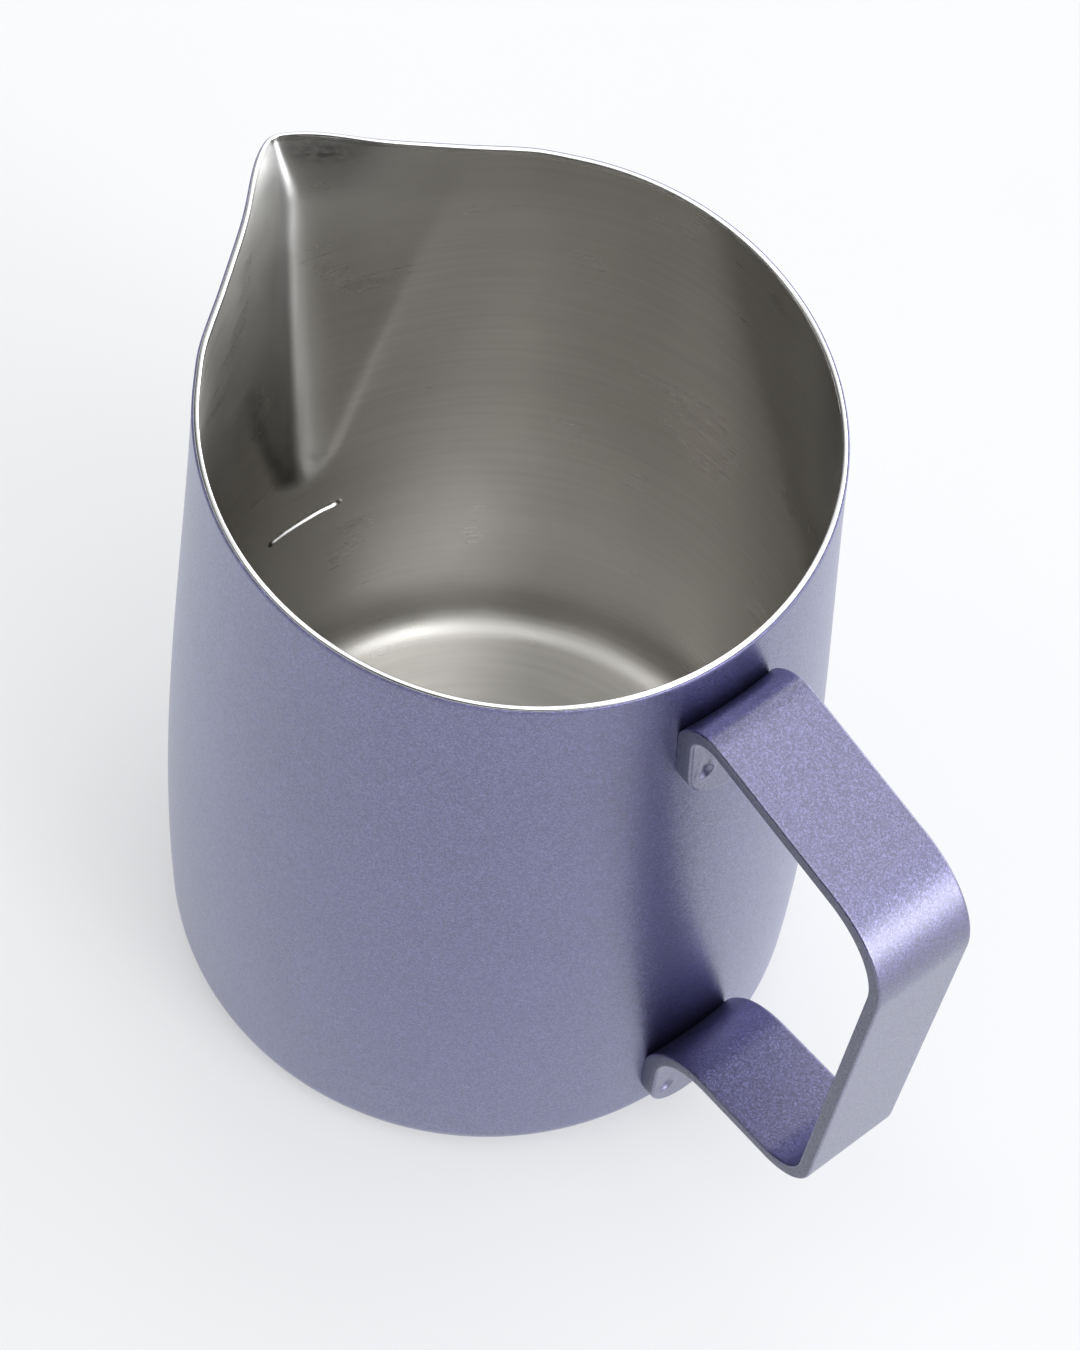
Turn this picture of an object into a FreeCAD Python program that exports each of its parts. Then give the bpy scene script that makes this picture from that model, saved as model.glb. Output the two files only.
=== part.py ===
import FreeCAD, Part
import math
import os

# Milk frothing pitcher: a drawn steel body with a pressed pouring spout, a coloured coating on its
# outside, and a bent steel strap for a handle, spot-welded to the wall at both ends.
# Millimetres. The base stands on Z = 0 with its centre at the origin, +Z is up, the spout points
# to -X and the handle to +X.

# Body: the radii are those of the coated outside.
RIM_HEIGHT = 114.2                              # rim above the base, measured on the axis
RIM_RISE = 0.066                                # the rim climbs this much per mm towards the spout
WALL_RADII = (43.95, 44.15, 42.9, 40.9, 39.0)   # at 0, 1/4, 1/2, 3/4 and all of RIM_HEIGHT
BASE_FILLET = 5.7                               # outside of the steel, between base and wall
INNER_FILLET = 5.0                              # inside, between floor and wall
STEEL = 0.75                                    # sheet thickness of wall and floor
COAT = 0.2                                      # coating thickness
BARE_BAND = 0.3                                 # steel left uncoated below the rim
COAT_START = 0.4                                # height where the coat begins

# Spout: two flat flanks that meet in a vertical crease.
SPOUT_FOOT = 46.0                               # height where the crease leaves the round wall
SPOUT_RAMP = 8.0                                # height over which it swings out of the wall
CREASE_REACH = 49.5                             # where the flanks would meet, from the axis
CREASE_UPRIGHT = 110.0                          # height at which the crease stands upright
CREASE_BOW = 2.1 / 53.0 ** 2                    # how fast it falls back below that, per mm squared
FLANK_ANGLE = math.radians(38.5)                # flank from the crosswise direction
FLANK_WIDTH = 24.5                              # how far a flank runs to each side
LIP_ANGLE = math.radians(48.0)                  # the tip's own, steeper flanks
LIP_WIDTH = 8.0
LIP_FLARE = 2.6                                 # how far the tip curls out
LIP_HEIGHT = 9.0                                # height of the curl
LIP_SETBACK = 1.9                               # the curl starts this far behind the flanks' edge
DIP_START = 43.0                                # the rim dips at the tip, from this far out
DIP_ANGLE = 12.0

# Level mark pressed into the inside below the spout.
MARK_HEIGHT = 38.9
MARK_LENGTH = 12.4
MARK_WIDTH = 1.7
MARK_DEPTH = 0.5

# Handle: one strap, bent in the XZ plane. The lines are those of its outside.
STRAP_WIDTH = 14.3
STRAP_THICKNESS = 2.03
TOP_LINE_START = (40.2, 107.3)
UPPER_CORNER = (77.5, 100.2)
LOWER_CORNER = (74.1, 30.15)
BOTTOM_LINE_END = (44.5, 26.6)
TOP_BEND, UPPER_BEND, LOWER_BEND, FOOT_BEND = 3.3, 10.5, 6.5, 9.5   # inside radii of the bends
UPPER_FOOT_END = 87.7                           # lowest point of each foot
LOWER_FOOT_END = 5.5
FOOT_RISE = 14.0                                # a foot leans as the wall does over this height
FOOT_FIT = 1.0                                  # extra stock behind a foot, shaped to the wall
EDGE_ROUNDING = 0.3                             # along the strap's long edges

# Spot welds: a pair at each foot, with a dimple in the face of the strap.
WELD_OFFSET = 4.7                               # from the strap's middle line
WELD_ABOVE_END = 6.2                            # above the foot's lowest point
DIMPLE_RADIUS = 1.15
DIMPLE_DEPTH = 0.55
NUGGET_RADIUS = 1.6
NUGGET_THICKNESS = 0.8

TALL = 124.0                                    # solids run up to here before the rim is cut
WEDGE_ROOT = 30.0                               # a wedge starts this far out, inside the body
WALL_SPANS = 12                                 # spans of the curves up the wall and the crease
CREASE_SPANS = 14
SPACE = 200.0                                   # side of the blocks that cut open space
CLEAR = 1.0                                     # a cutting tool runs this far past what it cuts
JOIN = 1e-6                                     # lengths below this count as nothing


def wall_radius(z):
    """Outside radius of the round wall: the quartic through the five driving radii."""
    last = len(WALL_RADII) - 1
    place = z / RIM_HEIGHT * last
    total = 0.0
    for i, radius in enumerate(WALL_RADII):
        for j in range(last + 1):
            if j != i:
                radius *= (place - j) / (i - j)
        total += radius
    return total


def vector(x, y, z):
    return FreeCAD.Vector(x, y, z)


def turned(inset):
    """The round body filled solid, on a surface set in from the coated outside by inset."""
    floor = inset - COAT
    corner = INNER_FILLET if inset > COAT else BASE_FILLET - floor
    foot = floor + corner
    flat_radius = wall_radius(0) - inset - corner
    diagonal = corner * math.sqrt(0.5)
    foot_arc = Part.Arc(vector(flat_radius, 0, floor),
                        vector(flat_radius + diagonal, 0, foot - diagonal),
                        vector(flat_radius + corner, 0, foot))
    heights = [foot + (TALL - foot) * i / WALL_SPANS for i in range(WALL_SPANS + 1)]
    wall = Part.BSplineCurve()
    wall.interpolate([vector(wall_radius(z) - inset, 0, z) for z in heights])
    return revolved([vector(0, 0, floor), foot_arc, wall, vector(0, 0, TALL)])


def revolved(pieces):
    """Solid turned about the Z axis from an outline: end points on the axis, curves between."""
    bottom, top = pieces[0], pieces[-1]
    curves = pieces[1:-1]
    edges = [curve.toShape() for curve in curves]
    joints = [bottom] + [p for curve in curves for p in (curve.StartPoint, curve.EndPoint)]
    joints += [top, bottom]
    for start, end in zip(joints[::2], joints[1::2]):
        if start.distanceToPoint(end) > JOIN:
            edges.append(Part.LineSegment(start, end).toShape())
    edges.append(Part.LineSegment(top, bottom).toShape())
    outline = Part.Wire(Part.sortEdges(edges)[0])
    return Part.Face(outline).revolve(vector(0, 0, 0), vector(0, 0, 1), 360)


def wedge(reach, low, angle, half_width):
    """Upright V-shaped wedge whose edge stands reach(z) out from the axis, towards -X."""
    heights = [low + (TALL - low) * i / CREASE_SPANS for i in range(CREASE_SPANS + 1)]
    edge = Part.BSplineCurve()
    edge.interpolate([vector(-reach(z), 0, z) for z in heights])
    inside = [vector(-WEDGE_ROOT, 0, TALL), vector(-WEDGE_ROOT, 0, low)]
    corners = [edge.EndPoint] + inside + [edge.StartPoint]
    sides = [Part.LineSegment(a, b).toShape() for a, b in zip(corners, corners[1:])]
    face = Part.Face(Part.Wire([edge.toShape()] + sides))
    back = half_width * math.tan(angle)
    halves = [face.extrude(vector(back, side * half_width, 0)) for side in (1, -1)]
    return halves[0].fuse(halves[1]).removeSplitter()


def flank_crease(z):
    """How far out the crease stands: on the wall at the spout's foot, then bowed to upright."""
    bowed = CREASE_REACH - CREASE_BOW * (CREASE_UPRIGHT - z) ** 2
    step = min((z - SPOUT_FOOT) / SPOUT_RAMP, 1.0)
    share = 1.0 - (1.0 - step) ** 2
    return wall_radius(z) + (bowed - wall_radius(z)) * share


def lip_crease(z):
    """How far out the tip's curl stands, below and at the rim."""
    curl = max(1.0 - (RIM_HEIGHT - z) / LIP_HEIGHT, 0.0)
    return CREASE_REACH + LIP_FLARE * curl * curl - LIP_SETBACK


def filled(inset):
    """Body and spout filled solid, on a surface set in from the coated outside by inset."""
    flank_in = inset / math.cos(FLANK_ANGLE)
    lip_in = inset / math.cos(LIP_ANGLE)
    spout = wedge(lambda z: flank_crease(z) - flank_in, SPOUT_FOOT, FLANK_ANGLE, FLANK_WIDTH)
    lip = wedge(lambda z: lip_crease(z) - lip_in, RIM_HEIGHT - LIP_HEIGHT, LIP_ANGLE, LIP_WIDTH)
    return turned(inset).fuse([spout, lip]).removeSplitter()


def above_rim(drop):
    """Space above the rim's plane, and above its dip at the spout's tip, lowered by drop."""
    slope = math.degrees(math.atan(RIM_RISE))
    level = Part.makeBox(SPACE, SPACE, SPACE, vector(-SPACE / 2, -SPACE / 2, 0))
    level.rotate(vector(0, 0, 0), vector(0, 1, 0), slope)
    level.translate(vector(0, 0, RIM_HEIGHT - drop))
    dip = Part.makeBox(SPACE, SPACE, SPACE, vector(-SPACE, -SPACE / 2, 0))
    dip.rotate(vector(0, 0, 0), vector(0, 1, 0), -DIP_ANGLE)
    dip.translate(vector(-DIP_START, 0, RIM_HEIGHT + RIM_RISE * DIP_START - drop))
    return [level, dip]


def make_body():
    """Steel shell: base, wall with its spout, inside and floor, and the level mark."""
    shell = filled(COAT).cut(filled(COAT + STEEL)).cut(above_rim(0))
    return shell.cut(mark_tool())


def mark_tool():
    """What the level mark takes out of the inside: a slot with round ends, shallow all along."""
    wall = wall_radius(MARK_HEIGHT) - COAT - STEEL
    low = MARK_HEIGHT - MARK_WIDTH
    height = 2 * MARK_WIDTH
    base = vector(0, 0, low)
    sleeve = Part.makeCylinder(wall + MARK_DEPTH, height, base)
    sleeve = sleeve.cut(Part.makeCylinder(wall - CLEAR, height, base))
    straight = MARK_LENGTH - MARK_WIDTH
    reach = wall + CLEAR
    slot = Part.makeBox(reach, straight, MARK_WIDTH,
                        vector(-reach, -straight / 2, MARK_HEIGHT - MARK_WIDTH / 2))
    for side in (-1, 1):
        end = vector(-reach, side * straight / 2, MARK_HEIGHT)
        slot = slot.fuse(Part.makeCylinder(MARK_WIDTH / 2, reach, end, vector(1, 0, 0)))
    return sleeve.common(slot.removeSplitter())


def make_coating():
    """Thin coat on the outside, from just above the base up to the bare band under the rim."""
    below = Part.makeBox(SPACE, SPACE, SPACE, vector(-SPACE / 2, -SPACE / 2, COAT_START - SPACE))
    return filled(0).cut(filled(COAT)).cut(above_rim(BARE_BAND) + [below])


def crossing(line_a, line_b):
    """Where two lines in the XZ plane cross; a line is a point and a direction."""
    (ax, az), (ux, uz) = line_a
    (bx, bz), (vx, vz) = line_b
    t = ((bx - ax) * vz - (bz - az) * vx) / (ux * vz - uz * vx)
    return ax + ux * t, az + uz * t


def line_through(start, end, shift=0.0):
    """The line from start to end, moved sideways to its right by shift."""
    dx, dz = end[0] - start[0], end[1] - start[1]
    length = math.hypot(dx, dz)
    dx, dz = dx / length, dz / length
    return (start[0] + dz * shift, start[1] - dx * shift), (dx, dz)


def rounded(corners, radii):
    """Edges along the corners in the XZ plane; each inner corner is rounded to its radius."""
    edges = []
    here = corners[0]
    for before, corner, after, radius in zip(corners, corners[1:], corners[2:], radii):
        (_, (ax, az)), (_, (bx, bz)) = line_through(before, corner), line_through(corner, after)
        turn = math.acos(ax * bx + az * bz)
        cut = radius * math.tan(turn / 2)
        start = (corner[0] - ax * cut, corner[1] - az * cut)
        end = (corner[0] + bx * cut, corner[1] + bz * cut)
        out = (ax - bx, az - bz)
        size = math.hypot(*out)
        reach = radius / math.cos(turn / 2) - radius
        middle = (corner[0] - out[0] / size * reach, corner[1] - out[1] / size * reach)
        edges.append(segment(here, start))
        edges.append(Part.Arc(flat(start), flat(middle), flat(end)).toShape())
        here = end
    edges.append(segment(here, corners[-1]))
    return edges


def flat(place):
    return vector(place[0], -STRAP_WIDTH / 2, place[1])


def segment(start, end):
    return Part.LineSegment(flat(start), flat(end)).toShape()


def foot_line(low, high, out):
    """Upward line along the wall between two heights, out from the coated surface."""
    return line_through((wall_radius(low) + out, low), (wall_radius(high) + out, high))


def strap_outline():
    """Closed outline of the bent strap seen from its side."""
    lines = [line_through(TOP_LINE_START, UPPER_CORNER, shift) for shift in (0, STRAP_THICKNESS)]
    spans = [line_through(UPPER_CORNER, LOWER_CORNER, shift) for shift in (0, STRAP_THICKNESS)]
    floors = [line_through(LOWER_CORNER, BOTTOM_LINE_END, s) for s in (0, STRAP_THICKNESS)]
    upper_high, lower_high = UPPER_FOOT_END + FOOT_RISE, LOWER_FOOT_END + FOOT_RISE
    upper = [foot_line(UPPER_FOOT_END, upper_high, out) for out in (-FOOT_FIT, STRAP_THICKNESS)]
    lower = [foot_line(LOWER_FOOT_END, lower_high, out) for out in (STRAP_THICKNESS, -FOOT_FIT)]
    sides = []
    for side in (0, 1):
        sides.append([upper[side][0], crossing(upper[side], lines[side]),
                      crossing(lines[side], spans[side]), crossing(spans[side], floors[side]),
                      crossing(floors[side], lower[side]), lower[side][0]])
    back = STRAP_THICKNESS + FOOT_FIT
    outer = rounded(sides[0], (TOP_BEND + back, UPPER_BEND + STRAP_THICKNESS,
                               LOWER_BEND + STRAP_THICKNESS, FOOT_BEND))
    inner = rounded(sides[1], (TOP_BEND, UPPER_BEND, LOWER_BEND, FOOT_BEND + back))
    ends = [segment(sides[0][0], sides[1][0]), segment(sides[0][-1], sides[1][-1])]
    return Part.Wire(Part.sortEdges(outer + inner + ends)[0])


def foot_trim(end):
    """What is cut off a foot to leave its lower end half round."""
    half = STRAP_WIDTH / 2
    start = wall_radius(end) - FOOT_FIT - 2 * CLEAR
    reach = STRAP_THICKNESS + FOOT_FIT + 4 * CLEAR
    block = Part.makeBox(reach, STRAP_WIDTH + 2 * CLEAR, half + CLEAR,
                         vector(start, -half - CLEAR, end - CLEAR))
    return block.cut(Part.makeCylinder(half, reach, vector(start, 0, end + half),
                                       vector(1, 0, 0)))


def weld_places():
    """Centres of the welds on the wall, as pairs at the upper and the lower foot."""
    pairs = []
    for end in (UPPER_FOOT_END, LOWER_FOOT_END):
        z = end + WELD_ABOVE_END
        pairs.append([vector(0, side * WELD_OFFSET, z) for side in (-1, 1)])
    return pairs


def make_nuggets(places):
    """Lens of fused metal at each weld, half in the wall and half in the strap."""
    nuggets = []
    for place in places:
        radius = wall_radius(place.z) - COAT
        turn = math.asin(place.y / radius)
        out = vector(math.cos(turn), math.sin(turn), 0)
        start = out * (radius - NUGGET_THICKNESS / 2) + vector(0, 0, place.z)
        nuggets.append(Part.makeCylinder(NUGGET_RADIUS, NUGGET_THICKNESS, start, out))
    return nuggets


def dimple_tools():
    """Balls that press a dimple into the strap's face at each weld."""
    ball = (DIMPLE_RADIUS ** 2 + DIMPLE_DEPTH ** 2) / (2 * DIMPLE_DEPTH)
    tools = []
    for pair in weld_places():
        for place in pair:
            face = wall_radius(place.z) + STRAP_THICKNESS
            centre = vector(face + ball - DIMPLE_DEPTH, place.y, place.z)
            tools.append(Part.makeSphere(ball, centre))
    return tools


def long_edges(strap):
    """Edges that run along the strap's bends and straights on its two sides."""
    edges = []
    for edge in strap.Edges:
        box = edge.BoundBox
        at_side = box.YLength < JOIN and abs(abs(box.YMin) - STRAP_WIDTH / 2) < JOIN
        if at_side:
            edges.append(edge)
    return edges


def make_strap():
    """The bent strap with its rounded feet and dimples, before its back is fitted to the wall."""
    strap = Part.Face(strap_outline()).extrude(vector(0, STRAP_WIDTH, 0))
    strap = strap.makeFillet(EDGE_ROUNDING, long_edges(strap))
    for end in (UPPER_FOOT_END, LOWER_FOOT_END):
        strap = strap.cut(foot_trim(end))
    return strap.cut(dimple_tools())


def save(name, shape):
    shape.exportStep("parts/" + name + ".step")
    print(name, "valid", shape.isValid(), "solids", len(shape.Solids),
          "mm3", round(shape.Volume, 1))


def main():
    os.makedirs("parts", exist_ok=True)
    body = make_body()
    upper, lower = [make_nuggets(pair) for pair in weld_places()]
    stock = make_strap()
    strap = stock.cut(turned(COAT)).cut(upper + lower)
    coating = make_coating().cut(stock)
    save("pitcher_body", body.cut(upper + lower))
    save("body_coating", coating)
    save("handle_strap", strap)
    save("upper_weld_nuggets", Part.makeCompound(upper))
    save("lower_weld_nuggets", Part.makeCompound(lower))


main()
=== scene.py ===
import math

import bpy
import numpy as np
from mathutils import Matrix, Vector


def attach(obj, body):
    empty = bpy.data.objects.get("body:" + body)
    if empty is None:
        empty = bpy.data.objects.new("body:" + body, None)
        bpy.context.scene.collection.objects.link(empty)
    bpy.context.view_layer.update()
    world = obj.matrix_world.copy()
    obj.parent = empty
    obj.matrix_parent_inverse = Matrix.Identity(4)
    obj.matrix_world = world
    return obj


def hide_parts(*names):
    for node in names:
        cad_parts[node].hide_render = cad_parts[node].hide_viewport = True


# Looks of the milk frothing pitcher. Shapes are worked out in millimetres and turned into metres
# when a mesh is made. The base stands on Z = 0, the spout points to -X and the handle to +X.
# Angles round the body are counted from the spout's crease.
MM = 0.001

# Body: the radii are those of the coated outside.
RIM_HEIGHT = 114.2                              # on the axis; the rim climbs towards the spout
RIM_RISE = 0.066
WALL_RADII = (43.95, 44.15, 42.9, 40.9, 39.0)   # at 0, 1/4, 1/2, 3/4 and all of RIM_HEIGHT
BASE_FILLET = 5.7
INNER_FILLET = 5.0                              # inside, between floor and wall
STEEL = 0.75
COAT = 0.2
BARE_BAND = 0.3
COAT_START = 0.4
COAT_LEAD = math.radians(8)                     # its outside sets in this much before its back

# Spout: two flanks that meet in a crease, with a curled tip.
SPOUT_FOOT = 46.0
SPOUT_RAMP = 8.0
CREASE_REACH = 49.94
CREASE_UPRIGHT = 110.0
CREASE_BOW = 2.1 / 53.0 ** 2
CREASE_ROUNDING = 1.87                          # at the rim
CHANNEL_ROUNDING = 3.9                          # lower down, where the crease is a wider channel
CHANNEL_TOP, CHANNEL_FADE = 115.5, 9.0
FLANK_ANGLE = math.radians(38.5)
FLANK_BLEND = 0.8                               # softening of the fold between flank and wall
BLEND_RAMP = 2.0                                # it sets in over this height of the spout's foot
FLANK_FALL = 30.0                               # how fast a flank drops away past its end
LIP_FLARE = 1.45
LIP_HEIGHT = 6.5
LIP_HALF_WIDTH = 7.6
LIP_DIP = 0.83
DIP_HALF_WIDTH = 5.15

# Level mark in the inside below the spout.
MARK_HEIGHT = 38.9
MARK_LENGTH = 12.4
MARK_WIDTH = 1.7
MARK_DEPTH = 0.6
MARK_EDGE = 0.28                                # run of its steep sides
MARK_SOFT = 0.1                                 # its painted highlight ends over this width

# Traces of the press tool inside the lip: a ground patch beside the tip, its dark look a painted
# reflection, and a small dent below it, its dark look painted shade.
RUBBED_SIDE, RUBBED_BELOW = 4.5, 2.4            # across from the crease, below the rim
RUBBED_SPREAD = (2.6, 1.5)
DENT_PLACE = (-47.7, 0.7, 108.6)
DENT_RADIUS = 0.5

# Painted highlight along the crease and round the tip; the press tool left the flanks speckled.
HIGHLIGHT_WIDTH, HIGHLIGHT_RAMP = 3.0, 6.0          # across the crease, up from the spout's foot
TIP_HIGHLIGHT, TIP_FADE, TIP_WIDTH = 0.8, 22.0, 16.0
PRESS_START, PRESS_RUN = 0.3, 1.2               # how far a flank stands out as its look sets in

# Handle: the lines are those of the strap's outside, the bend radii those of its inside.
STRAP_WIDTH = 14.3
STRAP_THICKNESS = 2.03
TOP_LINE = ((40.2, 107.3), (77.5, 100.2))
SPAN_LINE = ((77.5, 100.2), (74.1, 30.15))
BOTTOM_LINE = ((74.1, 30.15), (44.5, 26.6))
BEND_RADII = (3.3, 10.5, 6.5, 9.5)
UPPER_FOOT = (87.7, 101.7)                      # heights of a foot's end and of a point above it
LOWER_FOOT = (5.5, 19.5)
EDGE_ROUNDING = 0.3
FOOT_EMBED = 0.05                               # a foot's back reaches this far into the coat
WELD_OFFSET = 4.7
WELD_ABOVE_END = 6.2
DIMPLE_RADIUS = 1.15
DIMPLE_DEPTH = 0.55
DIMPLE_POWER = 0.8
BRIM_HEIGHT = 0.06
BRIM_PLACE, BRIM_WIDTH = 1.25, 0.22             # in dimple radii
FRONT_SHARE = 0.9                               # the front starts at this share of half the sheet
UPPER_FIT, LOWER_FIT = 4.0, 6.0                 # the feet's fit to the wall ends over these lengths

# Mesh spacing: bands of start, end and step, in degrees round the body or in millimetres.
ROUND_BANDS = ((0, 3, 0.2), (3, 12, 0.4), (12, 42, 0.6), (42, 180, 1.5))
OUTER_BANDS = ((5.7, 44, 2.6), (44, 58, 0.6), (58, 104, 1.3), (104, 114.2, 0.7))
INNER_BANDS = ((STEEL + INNER_FILLET, 36.9, 2.4), (36.9, 40.1, 0.1), (40.1, 44, 0.8),
               (44, 58, 0.6), (58, 104, 1.3), (104, 114.2, 0.7))
DISC_STEP = 3.0
FILLET_STEPS = 12
LIP_STEPS = 8
STRAP_ACROSS = 72
STRAP_END_STEPS = 36
STRAP_STEP = 1.6
BEND_STEP = 0.4
SHORTEST_BAND = 0.05
RING_TURNS = (30, 60, 90)                       # degrees round the rounding of the strap's edge
TINY = 1e-6                                     # keeps a division away from zero


# ---------------------------------------------------------------- shape of the body

def wall_radius(z):
    """Outside radius of the round wall: the quartic through the five driving radii."""
    last = len(WALL_RADII) - 1
    place = z / RIM_HEIGHT * last
    total = 0.0
    for i, radius in enumerate(WALL_RADII):
        for j in range(last + 1):
            if j != i:
                radius = radius * (place - j) / (i - j)
        total = total + radius
    return total


def fade(value, start, end):
    """1 up to start, 0 from end on, smooth between."""
    t = np.clip((value - start) / (end - start), 0.0, 1.0)
    return 1.0 - t * t * (3 - 2 * t)


def in_front(angle):
    """Whether places round the body lie on the spout's side."""
    return np.abs(angle) < math.pi / 2


def flank_reach(z):
    """How far out the two flanks would meet at this height."""
    bowed = CREASE_REACH - CREASE_BOW * (CREASE_UPRIGHT - z) ** 2
    step = np.clip((z - SPOUT_FOOT) / SPOUT_RAMP, 0.0, 1.0)
    wall = wall_radius(z)
    return wall + (bowed - wall) * (1.0 - (1.0 - step) ** 2)


def flank_radius(angle, z, inset):
    """Radius of the flanks with their crease rounded; past a flank's end it drops away."""
    past = np.maximum(np.abs(angle) - FLANK_ANGLE, 0.0)
    angle = np.minimum(np.abs(angle), FLANK_ANGLE)
    slope = math.tan(FLANK_ANGLE)
    share = 1.0 - fade(CHANNEL_TOP - z, 0.0, CHANNEL_FADE)
    rounding = CREASE_ROUNDING + (CHANNEL_ROUNDING - CREASE_ROUNDING) * share - inset * slope
    reach = flank_reach(z) - inset / math.cos(FLANK_ANGLE)
    cosine, sine = np.cos(angle), slope * np.sin(angle)
    a = cosine ** 2 - sine ** 2
    a = np.where(np.abs(a) < TINY, TINY, a)
    b = cosine * reach
    radius = (b - np.sqrt(b * b - a * (reach ** 2 - (slope * rounding) ** 2))) / a
    return radius - FLANK_FALL * past ** 2


def lip_share(y):
    """Share of the lip's flare at a distance across from the crease."""
    return np.exp(-np.abs(y / LIP_HALF_WIDTH) ** 3)


def body_radius(angle, z, inset, rim):
    """Radius of the body with its spout, on a surface set in from the coated outside."""
    wall = wall_radius(z) - inset
    flank = np.where(z > SPOUT_FOOT, flank_radius(angle, z, inset), wall - 2 * FLANK_BLEND)
    near = np.maximum(FLANK_BLEND - np.abs(flank - wall), 0.0) / FLANK_BLEND
    above = np.clip((z - SPOUT_FOOT) / BLEND_RAMP, 0.0, 1.0)
    radius = np.maximum(flank, wall) + near ** 2 * FLANK_BLEND / 4 * above
    curl = np.maximum(1.0 - (rim - z) / LIP_HEIGHT, 0.0) ** 2
    return radius + LIP_FLARE * curl * lip_share(radius * np.sin(angle)) * in_front(angle)


def rim_height(angle):
    """Height of the rim: a plane that climbs to the spout, with a dip at the tip."""
    radius = body_radius(angle, RIM_HEIGHT, 0.0, RIM_HEIGHT)
    dip = LIP_DIP * np.exp(-(radius * np.sin(angle) / DIP_HALF_WIDTH) ** 2) * in_front(angle)
    return RIM_HEIGHT + RIM_RISE * radius * np.cos(angle) - dip


def spread(bands):
    """Positions along bands of (start, end, step), each band's ends included once."""
    places = [bands[0][0]]
    for start, end, step in bands:
        count = max(round((end - start) / step), 1)
        places.extend(start + (end - start) * (i + 1) / count for i in range(count))
    return np.array(places, float)


def round_angles():
    """Angles once round the body, close together at the crease."""
    half = np.radians(spread(ROUND_BANDS))
    return np.concatenate([-half[:0:-1], half[:-1]])


def disc_rows(angles, radius, z):
    """Rings of a flat disc from near its centre to its edge."""
    count = round(radius / DISC_STEP)
    return [(np.full_like(angles, radius * (i + 1) / count), np.full_like(angles, z))
            for i in range(count)]


def flat_radius():
    """Radius of the steel's flat underside."""
    return float(wall_radius(0.0)) - BASE_FILLET - COAT


def fillet_rows(angles, inset, start=0.0, corner=0.0):
    """Rings up the fillet between base and wall, from an angle in radians to upright."""
    corner = corner or BASE_FILLET + COAT - inset
    rows = []
    for i in range(1, FILLET_STEPS):
        turn = start + (math.pi / 2 - start) * i / FILLET_STEPS
        z = inset - COAT + corner * (1.0 - math.cos(turn))
        radius = wall_radius(z) - (inset + corner * (1 - math.sin(turn)))
        rows.append((np.full_like(angles, radius), np.full_like(angles, z)))
    return rows


def wall_rows(angles, inset, bands, drop):
    """Rings up the wall to a line that runs drop below the rim."""
    rim = rim_height(angles)
    heights = spread(bands)
    shares = (heights - heights[0]) / (heights[-1] - heights[0])
    rows = []
    for share in shares:
        z = heights[0] + (rim - drop - heights[0]) * share
        rows.append((body_radius(angles, z, inset, rim - drop), z))
    return rows


def lip_rows(angles):
    """Rings over the half-round edge of the sheet, from its outside to its inside."""
    rim = rim_height(angles)
    rows = []
    for i in range(1, LIP_STEPS):
        turn = math.pi * i / LIP_STEPS
        inset = COAT + STEEL / 2 * (1 - math.cos(turn))
        radius = body_radius(angles, rim - STEEL / 2, inset, rim - STEEL / 2)
        rows.append((radius, rim - STEEL / 2 * (1 - math.sin(turn))))
    return rows


def within_mark(y, z):
    """How far places lie within the outline of the level mark, a slot with round ends."""
    straight = (MARK_LENGTH - MARK_WIDTH) / 2
    return MARK_WIDTH / 2 - np.hypot(np.maximum(np.abs(y) - straight, 0.0), z - MARK_HEIGHT)


def pressed_mark(angles, row):
    """The row with the level mark pressed outwards into the wall."""
    radius, z = row
    within = within_mark(radius * np.sin(angles), z)
    depth = MARK_DEPTH * np.clip(within / MARK_EDGE, 0.0, 1.0) * in_front(angles)
    return radius + depth, z


# ---------------------------------------------------------------- meshes

def placed(angles, rows):
    """Vertices in metres of rings given as radius and height."""
    points = []
    for radius, z in rows:
        points.append(np.stack([-radius * np.cos(angles), radius * np.sin(angles), z], axis=1))
    return np.concatenate(points) * MM


def ring_faces(rows, columns, first=0):
    """Quads between neighbouring rings."""
    faces = []
    for i in range(rows - 1):
        low, high = first + i * columns, first + (i + 1) * columns
        for j in range(columns):
            after = (j + 1) % columns
            faces.append((low + j, high + j, high + after, low + after))
    return faces


def make_object(name, points, faces, node, material):
    """Mesh object that rides on the root body and stands for a CAD node."""
    mesh = bpy.data.meshes.new(name)
    mesh.from_pydata([tuple(p) for p in points], [], faces)
    mesh.validate()
    mesh.polygons.foreach_set("use_smooth", [True] * len(mesh.polygons))
    mesh.update()
    piece = bpy.data.objects.new(name, mesh)
    bpy.context.scene.collection.objects.link(piece)
    mesh.materials.append(material)
    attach(piece, "root")
    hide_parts(node)
    return piece


def add_attribute(piece, name, values):
    """A number for each vertex that the materials read."""
    layer = piece.data.attributes.new(name, "FLOAT", "POINT")
    layer.data.foreach_set("value", np.asarray(values, np.float32))


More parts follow.
